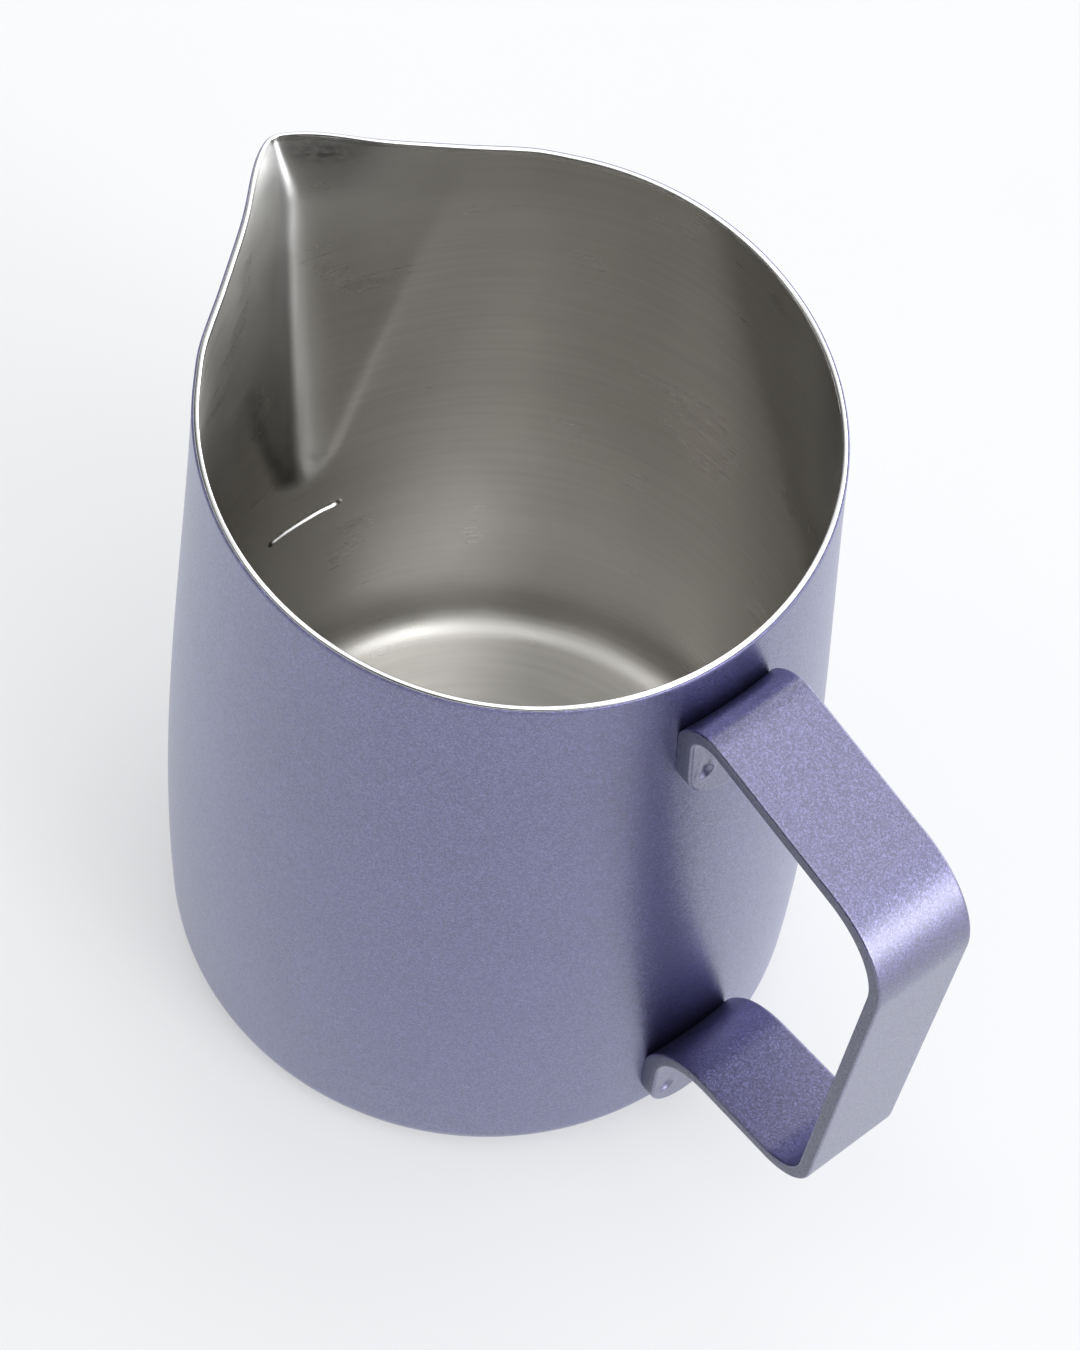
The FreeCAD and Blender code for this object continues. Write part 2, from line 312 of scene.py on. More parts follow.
def make_body(material):
    """Steel body: base, outside, bare lip, inside with its mark, and floor, as one skin."""
    angles = round_angles()
    inner = COAT + STEEL
    base = disc_rows(angles, flat_radius(), 0.0)
    outside = fillet_rows(angles, COAT) + wall_rows(angles, COAT, OUTER_BANDS, STEEL / 2)
    lip = lip_rows(angles)
    inside = [pressed_mark(angles, row)
              for row in wall_rows(angles, inner, INNER_BANDS, STEEL / 2)]
    inside = fillet_rows(angles, inner, corner=INNER_FILLET) + inside
    floor = disc_rows(angles, float(wall_radius(0.0)) - inner - INNER_FILLET, STEEL)
    rows = base + outside + lip + inside[::-1] + floor[::-1]
    count = len(angles)
    points = placed(angles, rows)
    faces = ring_faces(len(rows), count)
    bottom, top = len(points), len(points) + 1
    points = np.concatenate([points, [(0, 0, 0), (0, 0, STEEL * MM)]])
    last = (len(rows) - 1) * count
    for j in range(count):
        after = (j + 1) % count
        faces.append((bottom, j, after))
        faces.append((top, last + after, last + j))
    piece = make_object("steel_body", points, faces, "pitcher_body", material)
    lip_rank = len(base) + len(outside)
    first_inside = (lip_rank + len(lip)) * count
    # The bare lip: smoother steel with a painted highlight.
    polish_and_highlight = np.zeros(len(points))
    polish_and_highlight[(lip_rank - 1) * count:first_inside + count] = 1.0
    add_attribute(piece, "lip_polish_and_highlight", polish_and_highlight)
    add_attribute(piece, "spout_press", press_share(points))
    x, y, z = points.T / MM
    below = rim_height(np.arctan2(y, -x)) - z
    painted_light_and_marks = (("rubbed_dark_reflection", rubbed_reflection_share(y, below)), ("crease_tip_highlight", crease_tip_highlight_share(y, z, below)),
              ("mark_polish_and_highlight", mark_share(y, z)))
    for name, share in painted_light_and_marks:
        share[:first_inside] = 0.0
        share[x > 0] = 0.0
        add_attribute(piece, name, share)


def rubbed_reflection_share(y, below):
    """How much places this far below the rim belong to the ground patch beside the tip,
    which is painted with a dark reflection.
    """
    side, down = RUBBED_SPREAD
    return np.exp(-((y - RUBBED_SIDE) / side) ** 2 - ((below - RUBBED_BELOW) / down) ** 2)


def crease_tip_highlight_share(y, z, below):
    """Share of painted highlight inside: along the crease and towards the tip."""
    crease = np.exp(-(y / HIGHLIGHT_WIDTH) ** 2)
    crease = crease * (1.0 - fade(z, SPOUT_FOOT, SPOUT_FOOT + HIGHLIGHT_RAMP))
    tip = TIP_HIGHLIGHT * np.exp(-(below / TIP_FADE) ** 2 - (y / TIP_WIDTH) ** 2)
    return np.maximum(crease, tip)


def mark_share(y, z):
    """1 in the level mark, which the punch left smooth and which carries a painted highlight."""
    return np.clip((within_mark(y, z) + MARK_SOFT / 2) / MARK_SOFT, 0.0, 1.0)


def press_share(points):
    """How much a point belongs to the pressed spout: 1 on its flanks, 0 on the round wall."""
    radius = np.hypot(points[:, 0], points[:, 1]) / MM
    z = points[:, 2] / MM
    wall = wall_radius(np.clip(z, 0.0, RIM_HEIGHT)) - COAT - STEEL
    share = np.clip((radius - wall - PRESS_START) / PRESS_RUN, 0.0, 1.0)
    share[(points[:, 0] > 0) | (z < SPOUT_FOOT)] = 0.0
    return share


def make_coat(material):
    """Thin coat: its outside, its upper and lower edges, and its back against the steel."""
    angles = round_angles()
    start = math.acos((BASE_FILLET - COAT_START) / (BASE_FILLET + COAT))
    outside = fillet_rows(angles, 0.0, start - COAT_LEAD)
    outside += wall_rows(angles, 0.0, OUTER_BANDS, BARE_BAND + COAT / 2)
    edge = wall_rows(angles, COAT / 4, OUTER_BANDS, BARE_BAND)[-1:]
    back_start = math.acos((BASE_FILLET - COAT_START) / BASE_FILLET)
    back = fillet_rows(angles, COAT, back_start) + wall_rows(angles, COAT, OUTER_BANDS, BARE_BAND)
    rows = outside + edge + back[::-1]
    count = len(angles)
    points = placed(angles, rows)
    faces = ring_faces(len(rows), count)
    last = (len(rows) - 1) * count
    for j in range(count):
        after = (j + 1) % count
        faces.append((last + j, j, after, last + after))
    piece = make_object("lavender_coat_skin", points, faces, "body_coating",
                        material)
    height = points[:, 2] / MM
    add_attribute(piece, "coat_darkening", np.clip(BODY_DARKENING + height / DARKENING_RISE, 0.0, 1.0))


# ---------------------------------------------------------------- handle

def line_through(start, end, shift=0.0):
    """The line from start to end, moved sideways to its right by shift."""
    start, end = np.array(start, float), np.array(end, float)
    way = (end - start) / np.linalg.norm(end - start)
    return start + right_of(way) * shift, way


def right_of(way):
    """The direction a quarter turn to the right of way."""
    return np.array([way[1], -way[0]])


def crossing(line_a, line_b):
    """The point where two lines meet."""
    (a, u), (b, v) = line_a, line_b
    t = np.dot(b - a, right_of(v)) / np.dot(u, right_of(v))
    return a + u * t


def foot_line(low, high, out):
    """A foot's middle line: along the wall between two heights, at a distance out from it."""
    return line_through((float(wall_radius(low)) + out, low),
                        (float(wall_radius(high)) + out, high))


def strap_runs():
    """The strap's middle line as runs: start, direction, length and curvature to its right."""
    half = STRAP_THICKNESS / 2
    lines = [foot_line(*UPPER_FOOT, half), line_through(*TOP_LINE, half),
             line_through(*SPAN_LINE, half), line_through(*BOTTOM_LINE, half),
             foot_line(*LOWER_FOOT[::-1], half)]
    end = np.array([float(wall_radius(LOWER_FOOT[0])) + half, LOWER_FOOT[0]])
    runs, here = [], lines[0][0]
    for before, after, inside in zip(lines, lines[1:], BEND_RADII):
        corner = crossing(before, after)
        side = math.copysign(1.0, np.dot(right_of(before[1]), after[1]))
        turn = math.acos(np.dot(before[1], after[1]))
        radius = inside + half
        cut = radius * math.tan(turn / 2)
        start = corner - before[1] * cut
        runs.append((here, before[1], np.linalg.norm(start - here), 0.0))
        runs.append((start, before[1], radius * turn, side / radius))
        here = corner + after[1] * cut
    runs.append((here, lines[-1][1], np.linalg.norm(end - here), 0.0))
    return runs


def along(runs, s):
    """Points and directions of the middle line at distances s from its start."""
    points, ways = np.zeros((len(s), 2)), np.zeros((len(s), 2))
    begin = 0.0
    for number, (start, way, length, curve) in enumerate(runs):
        last = number == len(runs) - 1
        here = (s >= begin) & ((s < begin + length) | last)
        t = (s[here] - begin)[:, None]
        side = right_of(way)
        if curve == 0.0:
            points[here] = start + way * t
            ways[here] = way
        else:
            turn = curve * t
            points[here] = start + way * np.sin(turn) / curve + side * (1 - np.cos(turn)) / curve
            ways[here] = way * np.cos(turn) + side * np.sin(turn)
        begin += length
    return points, ways


def length_of(runs):
    """Length of the strap's middle line."""
    return sum(length for _, _, length, _ in runs)


def strap_stations(runs, first):
    """Distances of the grid's rows between the two half-round ends."""
    bands, here = [], 0.0
    total = length_of(runs)
    for _, _, length, curve in runs:
        start, end = max(here, first), min(here + length, total - first)
        if end - start > SHORTEST_BAND:
            bands.append((start, end, BEND_STEP if curve else STRAP_STEP))
        here += length
    return spread(bands)


def strap_grid(runs):
    """Rows and columns of places (s, u) that fill the strap's outline, set in by its rounding."""
    centre = STRAP_WIDTH / 2
    radius = centre - EDGE_ROUNDING
    total = length_of(runs)
    across = np.linspace(-1.0, 1.0, STRAP_ACROSS + 1)
    rows, outward = [], []
    for i in range(STRAP_END_STEPS):
        x = -1.0 + i / STRAP_END_STEPS
        s = radius * x * np.sqrt(1 - across ** 2 / 2)
        u = radius * across * math.sqrt(1 - x * x / 2)
        rows.append(np.stack([centre + s, u], axis=1))
        outward.append(np.stack([s, u], axis=1))
    mirrored = [np.stack([total - row[:, 0], row[:, 1]], axis=1) for row in rows[::-1]]
    back_out = [np.stack([-way[:, 0], way[:, 1]], axis=1) for way in outward[::-1]]
    for s in strap_stations(runs, centre):
        rows.append(np.stack([np.full_like(across, s), radius * across], axis=1))
        outward.append(np.stack([np.zeros_like(across), radius * across], axis=1))
    return np.array(rows + mirrored), np.array(outward + back_out)


def around(count_rows, count_columns):
    """Grid indices once round the border of a grid."""
    top = [(0, j) for j in range(count_columns)]
    right = [(i, count_columns - 1) for i in range(1, count_rows)]
    bottom = [(count_rows - 1, j) for j in range(count_columns - 2, -1, -1)]
    left = [(i, 0) for i in range(count_rows - 2, 0, -1)]
    return top + right + bottom + left


def fitted(places, runs):
    """Turns places (s, u, v) on and in the strap into points, its feet fitted to the wall."""
    s, u, v = places.T
    total = length_of(runs)
    s = np.clip(s, 0.0, total)
    points, ways = along(runs, s)
    sides = np.stack([ways[:, 1], -ways[:, 0]], axis=1)
    flat = points + sides * v[:, None]
    x, z = flat[:, 0].copy(), flat[:, 1]
    half = STRAP_THICKNESS / 2
    upper_foot, lower_foot = runs[0][2], total - runs[-1][2]
    wall = wall_radius(z)
    curved = np.sqrt((wall - FOOT_EMBED) ** 2 - u ** 2)
    upper = fade(s, upper_foot, upper_foot + UPPER_FIT) * (half - v) / STRAP_THICKNESS
    lower = fade(-s, -lower_foot, -lower_foot + LOWER_FIT) * (half + v) / STRAP_THICKNESS
    x += (curved - wall) * (upper + lower)
    x -= dimples(s, u, v, total)
    return np.stack([x, u, z], axis=1) * MM


def dimples(s, u, v, total):
    """How far the strap's front is pressed in at the spot welds."""
    half = STRAP_THICKNESS / 2
    depth = np.zeros_like(s)
    for centre, front in ((WELD_ABOVE_END, v), (total - WELD_ABOVE_END, -v)):
        for side in (-1, 1):
            away = np.hypot(s - centre, u - side * WELD_OFFSET) / DIMPLE_RADIUS
            bowl = DIMPLE_DEPTH * np.clip(1 - away ** 2, 0, 1) ** DIMPLE_POWER
            brim = BRIM_HEIGHT * np.exp(-((away - BRIM_PLACE) / BRIM_WIDTH) ** 2)
            depth += (bowl - brim) * (front > half * FRONT_SHARE)
    return depth


def make_strap(material):
    """The handle: a flat strap with rounded edges and half-round ends, bent along its line."""
    runs = strap_runs()
    grid, outward = strap_grid(runs)
    row_count, column_count = grid.shape[:2]
    half = STRAP_THICKNESS / 2
    size = row_count * column_count
    border = around(row_count, column_count)
    edge = np.array([grid[i, j] for i, j in border])
    way = np.array([outward[i, j] for i, j in border])
    way /= np.linalg.norm(way, axis=1)[:, None]
    straight = half - EDGE_ROUNDING
    turns = [math.radians(turn) for turn in RING_TURNS]
    levels = [(math.sin(t), straight + EDGE_ROUNDING * math.cos(t)) for t in turns]
    levels += [(1.0, straight / 3), (1.0, -straight / 3)]
    levels += [(out, -level) for out, level in levels[len(RING_TURNS) - 1::-1]]
    flat = grid.reshape(size, 2)
    places = [np.column_stack([flat, np.full(size, half)]),
              np.column_stack([flat, np.full(size, -half)])]
    for out, level in levels:
        ring = edge + way * EDGE_ROUNDING * out
        places.append(np.column_stack([ring, np.full(len(ring), level)]))
    faces = []
    for i in range(row_count - 1):
        for j in range(column_count - 1):
            a = i * column_count + j
            b, c, d = a + 1, a + column_count + 1, a + column_count
            faces.append((a, d, c, b))
            faces.append((size + a, size + b, size + c, size + d))
    loop = len(border)
    rings = [[i * column_count + j for i, j in border]]
    rings += [[2 * size + k * loop + n for n in range(loop)] for k in range(len(levels))]
    rings += [[size + i * column_count + j for i, j in border]]
    for one, two in zip(rings, rings[1:]):
        for n in range(loop):
            m = (n + 1) % loop
            faces.append((one[n], one[m], two[m], two[n]))
    points = fitted(np.concatenate(places), runs)
    piece = make_object("handle_strap_bent", points, faces, "handle_strap",
                        material)
    # The strap's side faces, which the coat darkens with painted shade.
    side = np.zeros(len(points))
    rounded = (len(RING_TURNS) - 1) * loop
    side[2 * size + rounded:len(points) - rounded] = 1.0
    add_attribute(piece, "strap_side", side)
    add_attribute(piece, "coat_darkening", np.full(len(side), STRAP_DARKENING))
    add_attribute(piece, "strap_coat", np.ones(len(side)))


# ---------------------------------------------------------------- materials

NOISE_SPAN = (0.3, 0.7)                         # where nearly all values of a noise lie


class Nodes:
    """Small helper to write the nodes of a material or a world as calls."""

    def __init__(self, holder):
        holder.use_nodes = True
        self.holder = holder
        self.tree = holder.node_tree
        self.tree.nodes.clear()

    def add(self, kind, settings=None, **inputs):
        """A node with its settings, and its inputs by name with _ for a space."""
        node = self.tree.nodes.new(kind)
        for key, value in (settings or {}).items():
            setattr(node, key, value)
        for key, value in inputs.items():
            self.put(node.inputs[key.replace("_", " ")], value)
        return node

    def put(self, socket, value):
        """Links an output to a socket or writes a constant into it."""
        if isinstance(value, bpy.types.NodeSocket):
            self.tree.links.new(value, socket)
        else:
            socket.default_value = value

    def math(self, operation, *values):
        node = self.tree.nodes.new("ShaderNodeMath")
        node.operation = operation
        for socket, value in zip(node.inputs, values):
            self.put(socket, value)
        return node.outputs[0]

    def vector(self, operation, *values, out="Vector"):
        node = self.tree.nodes.new("ShaderNodeVectorMath")
        node.operation = operation
        for socket, value in zip(node.inputs, values):
            self.put(socket, value)
        return node.outputs[out]

    def scaled(self, vector, factor):
        node = self.tree.nodes.new("ShaderNodeVectorMath")
        node.operation = "SCALE"
        self.put(node.inputs[0], vector)
        self.put(node.inputs["Scale"], factor)
        return node.outputs[0]

    def noise(self, vector, scale, detail):
        node = self.add("ShaderNodeTexNoise", Vector=vector, Scale=scale, Detail=detail)
        return node.outputs["Fac"]

    def between(self, value, start, end, low, high):
        """The value's range from start to end mapped to low to high, and held there outside."""
        node = self.add("ShaderNodeMapRange", Value=value)
        node.inputs["From Min"].default_value = start
        node.inputs["From Max"].default_value = end
        node.inputs["To Min"].default_value = low
        node.inputs["To Max"].default_value = high
        return node.outputs[0]

    def spanned(self, noise, low, high):
        """A noise stretched so that its usual span goes from low to high."""
        return self.between(noise, *NOISE_SPAN, low, high)

    def blend(self, share, one, two):
        node = self.tree.nodes.new("ShaderNodeMix")
        node.data_type = "RGBA"
        self.put(node.inputs["Factor"], share)
        for name, value in (("A", one), ("B", two)):
            socket = [s for s in node.inputs if s.name == name and s.type == "RGBA"][0]
            self.put(socket, value)
        return [s for s in node.outputs if s.type == "RGBA"][0]

    def attribute(self, name):
        return self.add("ShaderNodeAttribute", {"attribute_name": name}).outputs["Fac"]

    def position(self):
        return self.add("ShaderNodeTexCoord").outputs["Object"]

    def finish(self, shader, kind="ShaderNodeOutputMaterial"):
        out = self.tree.nodes.new(kind)
        self.tree.links.new(shader, out.inputs["Surface"])
        return self.holder


# Steel: colours, scales in cells per metre, then shares and spans of lightness and roughness.
STEEL_DARK = (0.495, 0.478, 0.450, 1.0)
STEEL_LIGHT = (0.63, 0.608, 0.572, 1.0)
# Colour of the painted highlights on the lip, the crease, the tip, the level mark and the lower
# wall.
STEEL_HIGHLIGHT = (0.90, 0.90, 0.89, 1.0)
# Painted dark: a reflection on the ground patch beside the tip and shade in the dent.
STEEL_PAINTED_DARK = (0.11, 0.11, 0.12, 1.0)
BRUSH_AROUND, BRUSH_SCALE = 2.0, 1100.0            # the first: cells per radian round the axis
STEEL_CLOUD_SCALE, SPECKLE_SCALE, SCUFF_SCALE = 70.0, 1500.0, 900.0
SCUFF_STRETCH = (1.0, 0.6, 1.6)
SPECKLE_SHARE = 0.2
GRAIN_SHADE, STEEL_CLOUD_SHADE = (0.25, 0.6), (-0.08, 0.12)
GRAIN_ROUGH, STEEL_CLOUD_ROUGH = (0.288, 0.312), (-0.03, 0.03)
SCUFF_SPAN = (0.35, 0.62, 0.15, 1.0)
RUBBED_REFLECTION_SHARE, DENT_SHADE_SHARE, HIGHLIGHT_SHARE = 0.75, 0.85, 0.9
DENT_CORE = 0.4                                    # share of its radius that is fully painted with shade
LOW_WALL_SHEEN_RISE = (0.002, 0.012, 0.2, 1.0)           # two heights in metres and the shares there of the painted reflection that lightens the lower wall
LOW_WALL_SHEEN_FADE = (0.025, 0.060, 0.3, 0.0)           # of the lighter look of the lower wall
LIP_SMOOTHER, MARK_SMOOTHER = 0.10, 0.14
ANISOTROPY, MARK_ANISOTROPY = 0.95, 0.15
QUARTER_TURN = 0.25
AXIS_RADIUS = 1e-4                                 # keeps a division away from zero, in metres

# Coat: the same, with the tilts of the flakes and the clear lacquer on top.
COAT_DEEP = (0.043, 0.037, 0.150, 1.0)
COAT_LIGHT = (0.152, 0.145, 0.385, 1.0)
# Painted shade on the strap's side faces.
COAT_SIDE_SHADE = (0.020, 0.018, 0.045, 1.0)
COAT_EDGE_TINT = (0.88, 0.96, 1.0, 1.0)
STRAP_TINT = (0.90, 0.865, 0.76)
BODY_DARKENING, DARKENING_RISE = 0.55, 220.0                 # darkening of the coat at the base; millimetres up for 1 more
STRAP_DARKENING = 0.45
FLAKE_SCALE, SMALL_FLAKE_SCALE, FILM_SCALE, COAT_CLOUD_SCALE = 5200.0, 9000.0, 6500.0, 60.0
FLAKE_TILT, SMALL_FLAKE_TILT = 0.34, 0.22
FLAKE_POWER, FLAKE_SHARE = 3.0, 0.9
FILM_LIGHT, COAT_CLOUD_LIGHT = (0.32, 0.68, 0.0, 0.85), (-0.05, 0.05)
DARKENING_DEPTH, SIDE_SHADE_SHARE = 0.34, 0.7
FILM_ROUGH = (0.36, 0.44)
COAT_METALLIC = 0.92
LACQUER_WEIGHT, LACQUER_ON_SIDE = 0.95, -0.45      # the second is what the strap's side adds
LACQUER_IOR, LACQUER_ON_STRAP = 2.05, 0.15
LACQUER_ROUGH = 0.34

# Welds.
WELD_DARK = (0.20, 0.18, 0.17, 1.0)
WELD_LIGHT = (0.42, 0.40, 0.38, 1.0)
WELD_HEAT = (0.30, 0.22, 0.15, 1.0)
WELD_SCALE, HEAT_SCALE = 1800.0, 500.0
HEAT_SPAN = (0.45, 0.75, 0.0, 0.5)
WELD_BUMP, WELD_BUMP_DEPTH = 0.4, 0.00008
WELD_ROUGH = (0.35, 0.6)

# Floor: it glows a little, so that the shadow on it stays light.
FLOOR_DARK = (0.345, 0.345, 0.345, 1.0)
FLOOR_LIGHT = (0.365, 0.365, 0.365, 1.0)
FLOOR_GLOW_COLOUR = (0.98, 0.985, 1.0, 1.0)
FLOOR_GLOW = 0.49
FLOOR_SCALE, FLOOR_ROUGH, FLOOR_SPECULAR = 14.0, 0.7, 0.1


def brushed(n, place):
    """Noise drawn out round the axis, as lines that a turning brush leaves."""
    x, y, z = n.add("ShaderNodeSeparateXYZ", Vector=place).outputs
    radius = n.math("SQRT", n.math("ADD", n.math("MULTIPLY", x, x), n.math("MULTIPLY", y, y)))
    safe = n.math("MAXIMUM", radius, AXIS_RADIUS)
    profile = n.math("ADD", radius, z)
    around_unit = n.add("ShaderNodeCombineXYZ", X=n.math("DIVIDE", x, safe),
                        Y=n.math("DIVIDE", y, safe))
    wide = n.scaled(around_unit.outputs[0], BRUSH_AROUND)
    fine = n.add("ShaderNodeCombineXYZ", Z=n.math("MULTIPLY", profile, BRUSH_SCALE))
    return n.noise(n.vector("ADD", wide, fine.outputs[0]), 1.0, 1.0)


def painted_dark_steel(n, place):
    """Share of the painted dark inside the lip: a reflection on the ground patch and shade in the
    dent.
    """
    scuffs = n.noise(n.vector("MULTIPLY", place, SCUFF_STRETCH), SCUFF_SCALE, 3.0)
    rubbed_dark_reflection = n.math("MULTIPLY", n.attribute("rubbed_dark_reflection"), n.between(scuffs, *SCUFF_SPAN))
    away = n.vector("DISTANCE", place, tuple(c * MM for c in DENT_PLACE), out="Value")
    dent = n.between(away, DENT_RADIUS * DENT_CORE * MM, DENT_RADIUS * MM, 1.0, 0.0)
    return n.math("MAXIMUM", n.math("MULTIPLY", rubbed_dark_reflection, RUBBED_REFLECTION_SHARE),
                  n.math("MULTIPLY", dent, DENT_SHADE_SHARE))


def steel_material():
    """Satin steel brushed round the axis, the flanks faintly speckled; the lip and the level mark
    are smoother.
    Painted highlights brighten the lip, the level mark, the crease, the tip's surroundings and the
    lower wall;
    painted dark shows a reflection on a ground patch beside the tip and shade in a small dent."""
    n = Nodes(bpy.data.materials.new("brushed_steel"))
    place = n.position()
    lip, mark = n.attribute("lip_polish_and_highlight"), n.attribute("mark_polish_and_highlight")
    cloud = n.noise(place, STEEL_CLOUD_SCALE, 3.0)
    speckle = n.noise(place, SPECKLE_SCALE, 1.0)
    speckled = n.math("MULTIPLY", n.attribute("spout_press"), SPECKLE_SHARE)
    grain = n.math("ADD", n.math("MULTIPLY", speckle, speckled),
                   n.math("MULTIPLY", brushed(n, place), n.math("SUBTRACT", 1.0, speckled)))
    shade = n.math("ADD", n.spanned(grain, *GRAIN_SHADE), n.spanned(cloud, *STEEL_CLOUD_SHADE))
    height = n.add("ShaderNodeSeparateXYZ", Vector=place).outputs[2]
    # Painted reflection: the lower inside wall is lightened.
    low = n.math("MULTIPLY", n.between(height, *LOW_WALL_SHEEN_RISE), n.between(height, *LOW_WALL_SHEEN_FADE))
    # Painted highlight along the crease, round the tip and in the level mark.
    painted_highlight = n.math("MAXIMUM", n.attribute("crease_tip_highlight"), mark)
    colour = n.blend(shade, STEEL_DARK, STEEL_LIGHT)
    colour = n.blend(low, colour, STEEL_HIGHLIGHT)
    colour = n.blend(n.math("MULTIPLY", painted_highlight, HIGHLIGHT_SHARE), colour, STEEL_HIGHLIGHT)
    # Painted dark: a reflection on the ground patch beside the tip and shade in the dent.
    colour = n.blend(painted_dark_steel(n, place), colour, STEEL_PAINTED_DARK)
    # Painted highlight on the smoother lip.
    colour = n.blend(n.math("MULTIPLY", lip, HIGHLIGHT_SHARE), colour, STEEL_HIGHLIGHT)
    rough = n.math("ADD", n.spanned(grain, *GRAIN_ROUGH), n.spanned(cloud, *STEEL_CLOUD_ROUGH))
    rough = n.math("SUBTRACT", rough, n.math("MULTIPLY", lip, LIP_SMOOTHER))
    rough = n.math("SUBTRACT", rough, n.math("MULTIPLY", mark, MARK_SMOOTHER))
    tangent = n.vector("NORMALIZE", n.vector("CROSS_PRODUCT", (0.0, 0.0, 1.0), place))
    uneven = n.math("MULTIPLY_ADD", mark, MARK_ANISOTROPY - ANISOTROPY, ANISOTROPY)
    shader = n.add("ShaderNodeBsdfPrincipled", Base_Color=colour, Roughness=rough, Metallic=1.0,
                   Anisotropic=uneven, Tangent=tangent)
    shader.inputs["Anisotropic Rotation"].default_value = QUARTER_TURN
    return n.finish(shader.outputs[0])


def coat_material():
    """Satin metallic lavender coat: flakes of different tilt and lightness in a purple film,
    darker towards the top and on the strap, with painted shade on the strap's side faces.
    """
    n = Nodes(bpy.data.materials.new("lavender_coat"))
    place = n.position()
    flakes = n.add("ShaderNodeTexVoronoi", Vector=place, Scale=FLAKE_SCALE)
    small = n.add("ShaderNodeTexVoronoi", Vector=place, Scale=SMALL_FLAKE_SCALE)
    split = n.add("ShaderNodeSeparateColor", Color=flakes.outputs["Color"])
    bright = n.math("POWER", split.outputs[0], FLAKE_POWER)
    film = n.noise(place, FILM_SCALE, 1.0)
    cloud = n.noise(place, COAT_CLOUD_SCALE, 2.0)
    strap, side = n.attribute("strap_coat"), n.attribute("strap_side")
    share = n.math("ADD", n.between(film, *FILM_LIGHT), n.math("MULTIPLY", bright, FLAKE_SHARE))
    share = n.math("ADD", share, n.spanned(cloud, *COAT_CLOUD_LIGHT))
    # The coat is darker towards the top and on the strap.
    share = n.math("SUBTRACT", share, n.math("MULTIPLY", n.attribute("coat_darkening"), DARKENING_DEPTH))
    colour = n.blend(share, COAT_DEEP, COAT_LIGHT)
    colour = n.blend(strap, colour, n.vector("MULTIPLY", colour, STRAP_TINT))
    # Painted shade on the strap's side faces.
    colour = n.blend(n.math("MULTIPLY", side, SIDE_SHADE_SHARE), colour, COAT_SIDE_SHADE)
    turned = n.add("ShaderNodeNewGeometry").outputs["Normal"]
    for cells, tilt in ((flakes, FLAKE_TILT), (small, SMALL_FLAKE_TILT)):
        lean = n.vector("SUBTRACT", cells.outputs["Color"], (0.5, 0.5, 0.5))
        turned = n.vector("ADD", turned, n.scaled(lean, tilt))
    shader = n.add("ShaderNodeBsdfPrincipled", Base_Color=colour, Metallic=COAT_METALLIC,
                   Roughness=n.spanned(film, *FILM_ROUGH), Normal=n.vector("NORMALIZE", turned))
    shader.inputs["Specular Tint"].default_value = COAT_EDGE_TINT
    shader.inputs["Coat Roughness"].default_value = LACQUER_ROUGH
    n.put(shader.inputs["Coat Weight"],
          n.math("MULTIPLY_ADD", side, LACQUER_ON_SIDE, LACQUER_WEIGHT))
    n.put(shader.inputs["Coat IOR"],
          n.math("MULTIPLY_ADD", strap, LACQUER_ON_STRAP, LACQUER_IOR))
    return n.finish(shader.outputs[0])


def weld_material():
    """Fused steel, mottled, with a faint heat tint in places."""
    n = Nodes(bpy.data.materials.new("weld_steel"))
    place = n.position()
    mottle = n.noise(place, WELD_SCALE, 3.0)
    heat = n.noise(place, HEAT_SCALE, 2.0)
    colour = n.blend(n.spanned(mottle, 0.0, 1.0), WELD_DARK, WELD_LIGHT)
    colour = n.blend(n.between(heat, *HEAT_SPAN), colour, WELD_HEAT)
    bump = n.add("ShaderNodeBump", Height=mottle, Strength=WELD_BUMP, Distance=WELD_BUMP_DEPTH)
    shader = n.add("ShaderNodeBsdfPrincipled", Base_Color=colour, Metallic=1.0,
                   Roughness=n.spanned(mottle, *WELD_ROUGH), Normal=bump.outputs[0])
    return n.finish(shader.outputs[0])


def floor_material():
    """Pale matt sheet with a glow of its own."""
    n = Nodes(bpy.data.materials.new("pale_floor"))
    colour = n.blend(n.noise(n.position(), FLOOR_SCALE, 3.0), FLOOR_DARK, FLOOR_LIGHT)
    shader = n.add("ShaderNodeBsdfPrincipled", Base_Color=colour, Roughness=FLOOR_ROUGH)
    shader.inputs["Specular IOR Level"].default_value = FLOOR_SPECULAR
    shader.inputs["Emission Color"].default_value = FLOOR_GLOW_COLOUR
    shader.inputs["Emission Strength"].default_value = FLOOR_GLOW
    return n.finish(shader.outputs[0])


# ---------------------------------------------------------------- setting

CAMERA_PLACE = Vector((183.4, -170.2, 472.5)) * MM
CAMERA_AZIMUTH = math.radians(45.892)
CAMERA_ELEVATION = math.radians(59.027)
CAMERA_ROLL = math.radians(6.388)
CAMERA_LENS = 98.47
CAMERA_CLIP = (0.01, 50.0)
SENSOR = 36.0

FLOOR_SIZE = 6.0
FLOOR_DROP = 0.00002                            # the floor lies this far below the base
ROOM_COLOUR = (0.97, 0.985, 1.0, 1.0)
# Lobes of the room's light: azimuth and elevation in degrees, sharpness, strength.
ROOM_LOBES = (
    (10, 12, 45, 7.6),
    (10, 28, 45, 6.3),
    (30, 12, 45, 2.3),
    (58, 12, 10, 2.4),
    (94, 12, 10, 4.0),
    (148, 33, 15, 2.4),
    (0, 60, 25, 3.9),
    (90, 60, 25, 1.1),
    (240, 60, 25, 2.0),
    (0, 88, 15, 1.95),
)


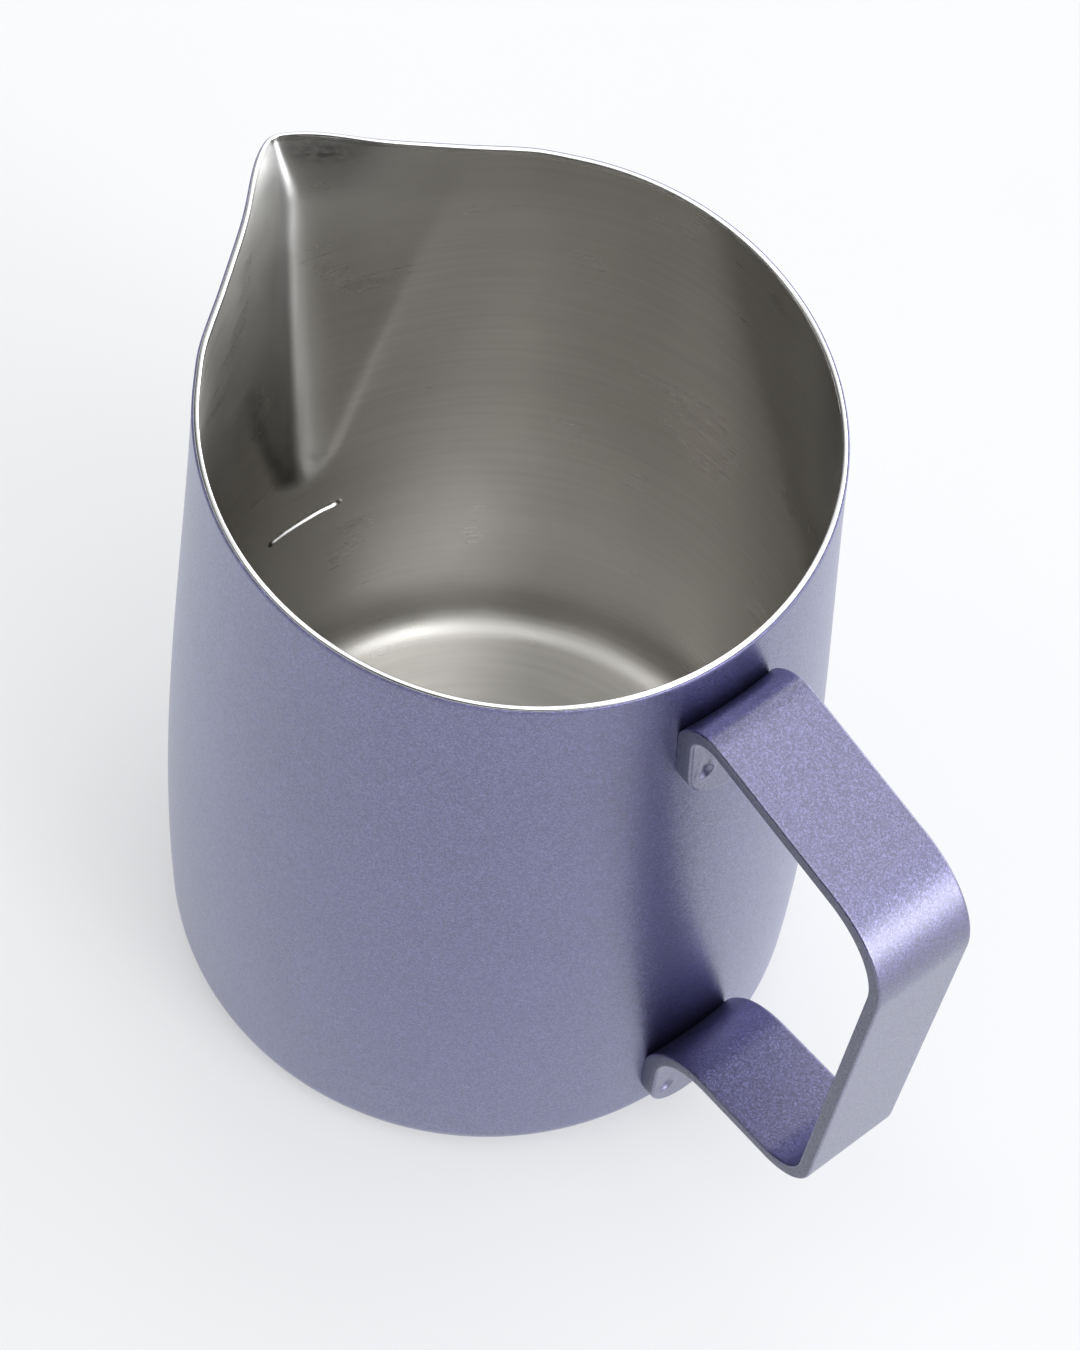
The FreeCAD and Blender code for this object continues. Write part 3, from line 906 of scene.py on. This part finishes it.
def make_camera():
    """The photo's camera: azimuth from -Y to +X, elevation, then roll round its own axis."""
    data = bpy.data.cameras.new("photo_camera")
    data.lens, data.sensor_width = CAMERA_LENS, SENSOR
    data.clip_start, data.clip_end = CAMERA_CLIP
    camera = bpy.data.objects.new("photo_camera", data)
    bpy.context.scene.collection.objects.link(camera)
    a, e, r = CAMERA_AZIMUTH, CAMERA_ELEVATION, CAMERA_ROLL
    back = Vector((math.sin(a) * math.cos(e), -math.cos(a) * math.cos(e), math.sin(e)))
    right = Vector((math.cos(a), math.sin(a), 0.0))
    up = back.cross(right)
    x_axis = right * math.cos(r) + up * math.sin(r)
    y_axis = up * math.cos(r) - right * math.sin(r)
    turn = Matrix((x_axis, y_axis, back)).transposed().to_4x4()
    camera.matrix_world = Matrix.Translation(CAMERA_PLACE) @ turn
    bpy.context.scene.camera = camera


def make_room():
    """The room's light: soft lobes on the sky, each round a direction."""
    n = Nodes(bpy.data.worlds.new("soft_room"))
    way = n.add("ShaderNodeTexCoord").outputs["Generated"]
    total = 0.0
    for azimuth, elevation, sharpness, strength in ROOM_LOBES:
        near = n.vector("DOT_PRODUCT", way, towards(azimuth, elevation), out="Value")
        lobe = n.math("EXPONENT", n.math("MULTIPLY", n.math("SUBTRACT", near, 1.0), sharpness))
        total = n.math("ADD", n.math("MULTIPLY", lobe, strength), total)
    sky = n.add("ShaderNodeBackground", Color=ROOM_COLOUR, Strength=total)
    bpy.context.scene.world = n.finish(sky.outputs[0], "ShaderNodeOutputWorld")


def towards(azimuth, elevation):
    """Direction of a place on the sky, in degrees; azimuth counts from +X to +Y."""
    a, e = math.radians(azimuth), math.radians(elevation)
    return Vector((math.cos(a) * math.cos(e), math.sin(a) * math.cos(e), math.sin(e)))


def make_setting():
    """The floor, the room's light and the way the picture shows brightness."""
    mesh = bpy.data.meshes.new("floor")
    h = FLOOR_SIZE / 2
    mesh.from_pydata([(-h, -h, 0), (h, -h, 0), (h, h, 0), (-h, h, 0)], [], [(0, 1, 2, 3)])
    mesh.materials.append(floor_material())
    floor = bpy.data.objects.new("floor", mesh)
    floor.location.z = -FLOOR_DROP
    bpy.context.scene.collection.objects.link(floor)
    make_room()
    bpy.context.scene.view_settings.view_transform = "Standard"


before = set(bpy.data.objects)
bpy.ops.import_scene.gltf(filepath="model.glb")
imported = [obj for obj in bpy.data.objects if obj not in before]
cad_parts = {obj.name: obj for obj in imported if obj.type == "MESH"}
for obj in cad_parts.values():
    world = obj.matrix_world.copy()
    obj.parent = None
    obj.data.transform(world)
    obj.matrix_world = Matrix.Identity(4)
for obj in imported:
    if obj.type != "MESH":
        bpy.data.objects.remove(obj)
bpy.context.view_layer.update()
steel, coat, weld = steel_material(), coat_material(), weld_material()
make_body(steel)
make_coat(coat)
make_strap(coat)
for node in ("upper_weld_nuggets", "lower_weld_nuggets"):
    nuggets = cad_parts[node]
    nuggets.data.materials.clear()
    nuggets.data.materials.append(weld)
make_setting()
make_camera()
